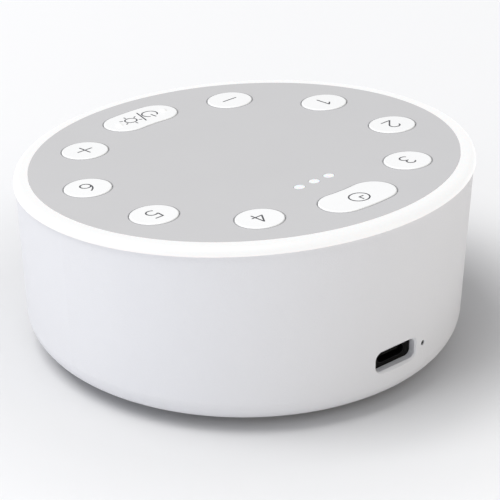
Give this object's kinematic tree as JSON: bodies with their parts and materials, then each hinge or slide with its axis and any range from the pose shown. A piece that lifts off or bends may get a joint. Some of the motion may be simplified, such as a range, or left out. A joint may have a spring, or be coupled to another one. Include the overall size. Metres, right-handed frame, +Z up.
{
  "type": "white noise sound machine",
  "caption": "Low round sound machine with a slanted key panel, a night-light ring, a downward speaker, a rechargeable cell and a charging port.",
  "frame": {"origin": "on the floor, under the middle of the body", "axes": "+Z up, -Y towards the user and the power key, +Y towards the charging port, so +X is on the user's right"},
  "size_m": [0.11, 0.1097, 0.05],
  "materials": {
    "shell_white": "matte",
    "panel_grey": "matte",
    "ring_white": "satin",
    "key_white": "satin",
    "inner_white": "matte",
    "lens_clear": "satin",
    "switch_black": "matte",
    "board_green": "satin",
    "board_black": "satin",
    "lamp_cream": "satin",
    "lamp_smoked": "satin",
    "screw_steel": "satin",
    "feet_grey": "matte",
    "seal_black": "matte",
    "basket_black": "satin",
    "magnet_dark": "matte",
    "coil_copper": "satin",
    "cone_black": "matte",
    "cell_wrap": "satin",
    "port_metal": "satin",
    "lead_red": "satin",
    "lead_black": "satin",
    "lead_white": "satin"
  },
  "bodies": {
    "body": {"housing": "shell_white", "light_ring": "ring_white", "top_panel": "panel_grey", "key_frame": "inner_white", "timer_lenses": "lens_clear", "key_switches": "switch_black", "main_board": "board_green", "board_parts": "switch_black", "board_sockets": "inner_white", "ring_lamps": "lamp_cream", "timer_lamps": "lamp_cream", "panel_screws": "screw_steel", "board_screws": "screw_steel", "base_cover": "shell_white", "feet": "feet_grey", "base_screws": "screw_steel", "speaker_basket": "basket_black", "speaker_magnet": "magnet_dark", "speaker_yoke": "screw_steel", "voice_coil": "coil_copper", "speaker_cone": "cone_black", "speaker_surround": "seal_black", "dust_cap": "cone_black", "speaker_gasket": "seal_black", "speaker_screws": "screw_steel", "battery_cell": "cell_wrap", "battery_cradle": "inner_white", "cradle_screws": "screw_steel", "port_seal": "seal_black", "port_board": "board_black", "port_shell": "port_metal", "port_tongue": "switch_black", "charge_lamp": "lamp_smoked", "port_screws": "screw_steel", "speaker_leads": "lead_red", "battery_leads": "lead_black", "port_leads": "lead_white"},
    "press_power": {"key_power": "key_white", "plunger_power": "switch_black"},
    "press_timer": {"key_timer": "key_white", "plunger_timer": "switch_black"},
    "press_minus": {"key_minus": "key_white", "plunger_minus": "switch_black"},
    "press_plus": {"key_plus": "key_white", "plunger_plus": "switch_black"},
    "press_sound_1": {"key_sound_1": "key_white", "plunger_sound_1": "switch_black"},
    "press_sound_2": {"key_sound_2": "key_white", "plunger_sound_2": "switch_black"},
    "press_sound_3": {"key_sound_3": "key_white", "plunger_sound_3": "switch_black"},
    "press_sound_4": {"key_sound_4": "key_white", "plunger_sound_4": "switch_black"},
    "press_sound_5": {"key_sound_5": "key_white", "plunger_sound_5": "switch_black"},
    "press_sound_6": {"key_sound_6": "key_white", "plunger_sound_6": "switch_black"}
  },
  "joints": [
    {"name": "power_press", "type": "slide", "parent": "body", "child": "press_power", "axis": [0, -0.0837, 0.9965], "range_m": [-0.0005, 0], "stiffness_N_per_m": 800, "springref_m": 0.0005},
    {"name": "timer_press", "type": "slide", "parent": "body", "child": "press_timer", "axis": [0, -0.0837, 0.9965], "range_m": [-0.0005, 0], "stiffness_N_per_m": 800, "springref_m": 0.0005},
    {"name": "minus_press", "type": "slide", "parent": "body", "child": "press_minus", "axis": [0, -0.0837, 0.9965], "range_m": [-0.0005, 0], "stiffness_N_per_m": 800, "springref_m": 0.0005},
    {"name": "plus_press", "type": "slide", "parent": "body", "child": "press_plus", "axis": [0, -0.0837, 0.9965], "range_m": [-0.0005, 0], "stiffness_N_per_m": 800, "springref_m": 0.0005},
    {"name": "sound_1_press", "type": "slide", "parent": "body", "child": "press_sound_1", "axis": [0, -0.0837, 0.9965], "range_m": [-0.0005, 0], "stiffness_N_per_m": 800, "springref_m": 0.0005},
    {"name": "sound_2_press", "type": "slide", "parent": "body", "child": "press_sound_2", "axis": [0, -0.0837, 0.9965], "range_m": [-0.0005, 0], "stiffness_N_per_m": 800, "springref_m": 0.0005},
    {"name": "sound_3_press", "type": "slide", "parent": "body", "child": "press_sound_3", "axis": [0, -0.0837, 0.9965], "range_m": [-0.0005, 0], "stiffness_N_per_m": 800, "springref_m": 0.0005},
    {"name": "sound_4_press", "type": "slide", "parent": "body", "child": "press_sound_4", "axis": [0, -0.0837, 0.9965], "range_m": [-0.0005, 0], "stiffness_N_per_m": 800, "springref_m": 0.0005},
    {"name": "sound_5_press", "type": "slide", "parent": "body", "child": "press_sound_5", "axis": [0, -0.0837, 0.9965], "range_m": [-0.0005, 0], "stiffness_N_per_m": 800, "springref_m": 0.0005},
    {"name": "sound_6_press", "type": "slide", "parent": "body", "child": "press_sound_6", "axis": [0, -0.0837, 0.9965], "range_m": [-0.0005, 0], "stiffness_N_per_m": 800, "springref_m": 0.0005}
  ]
}
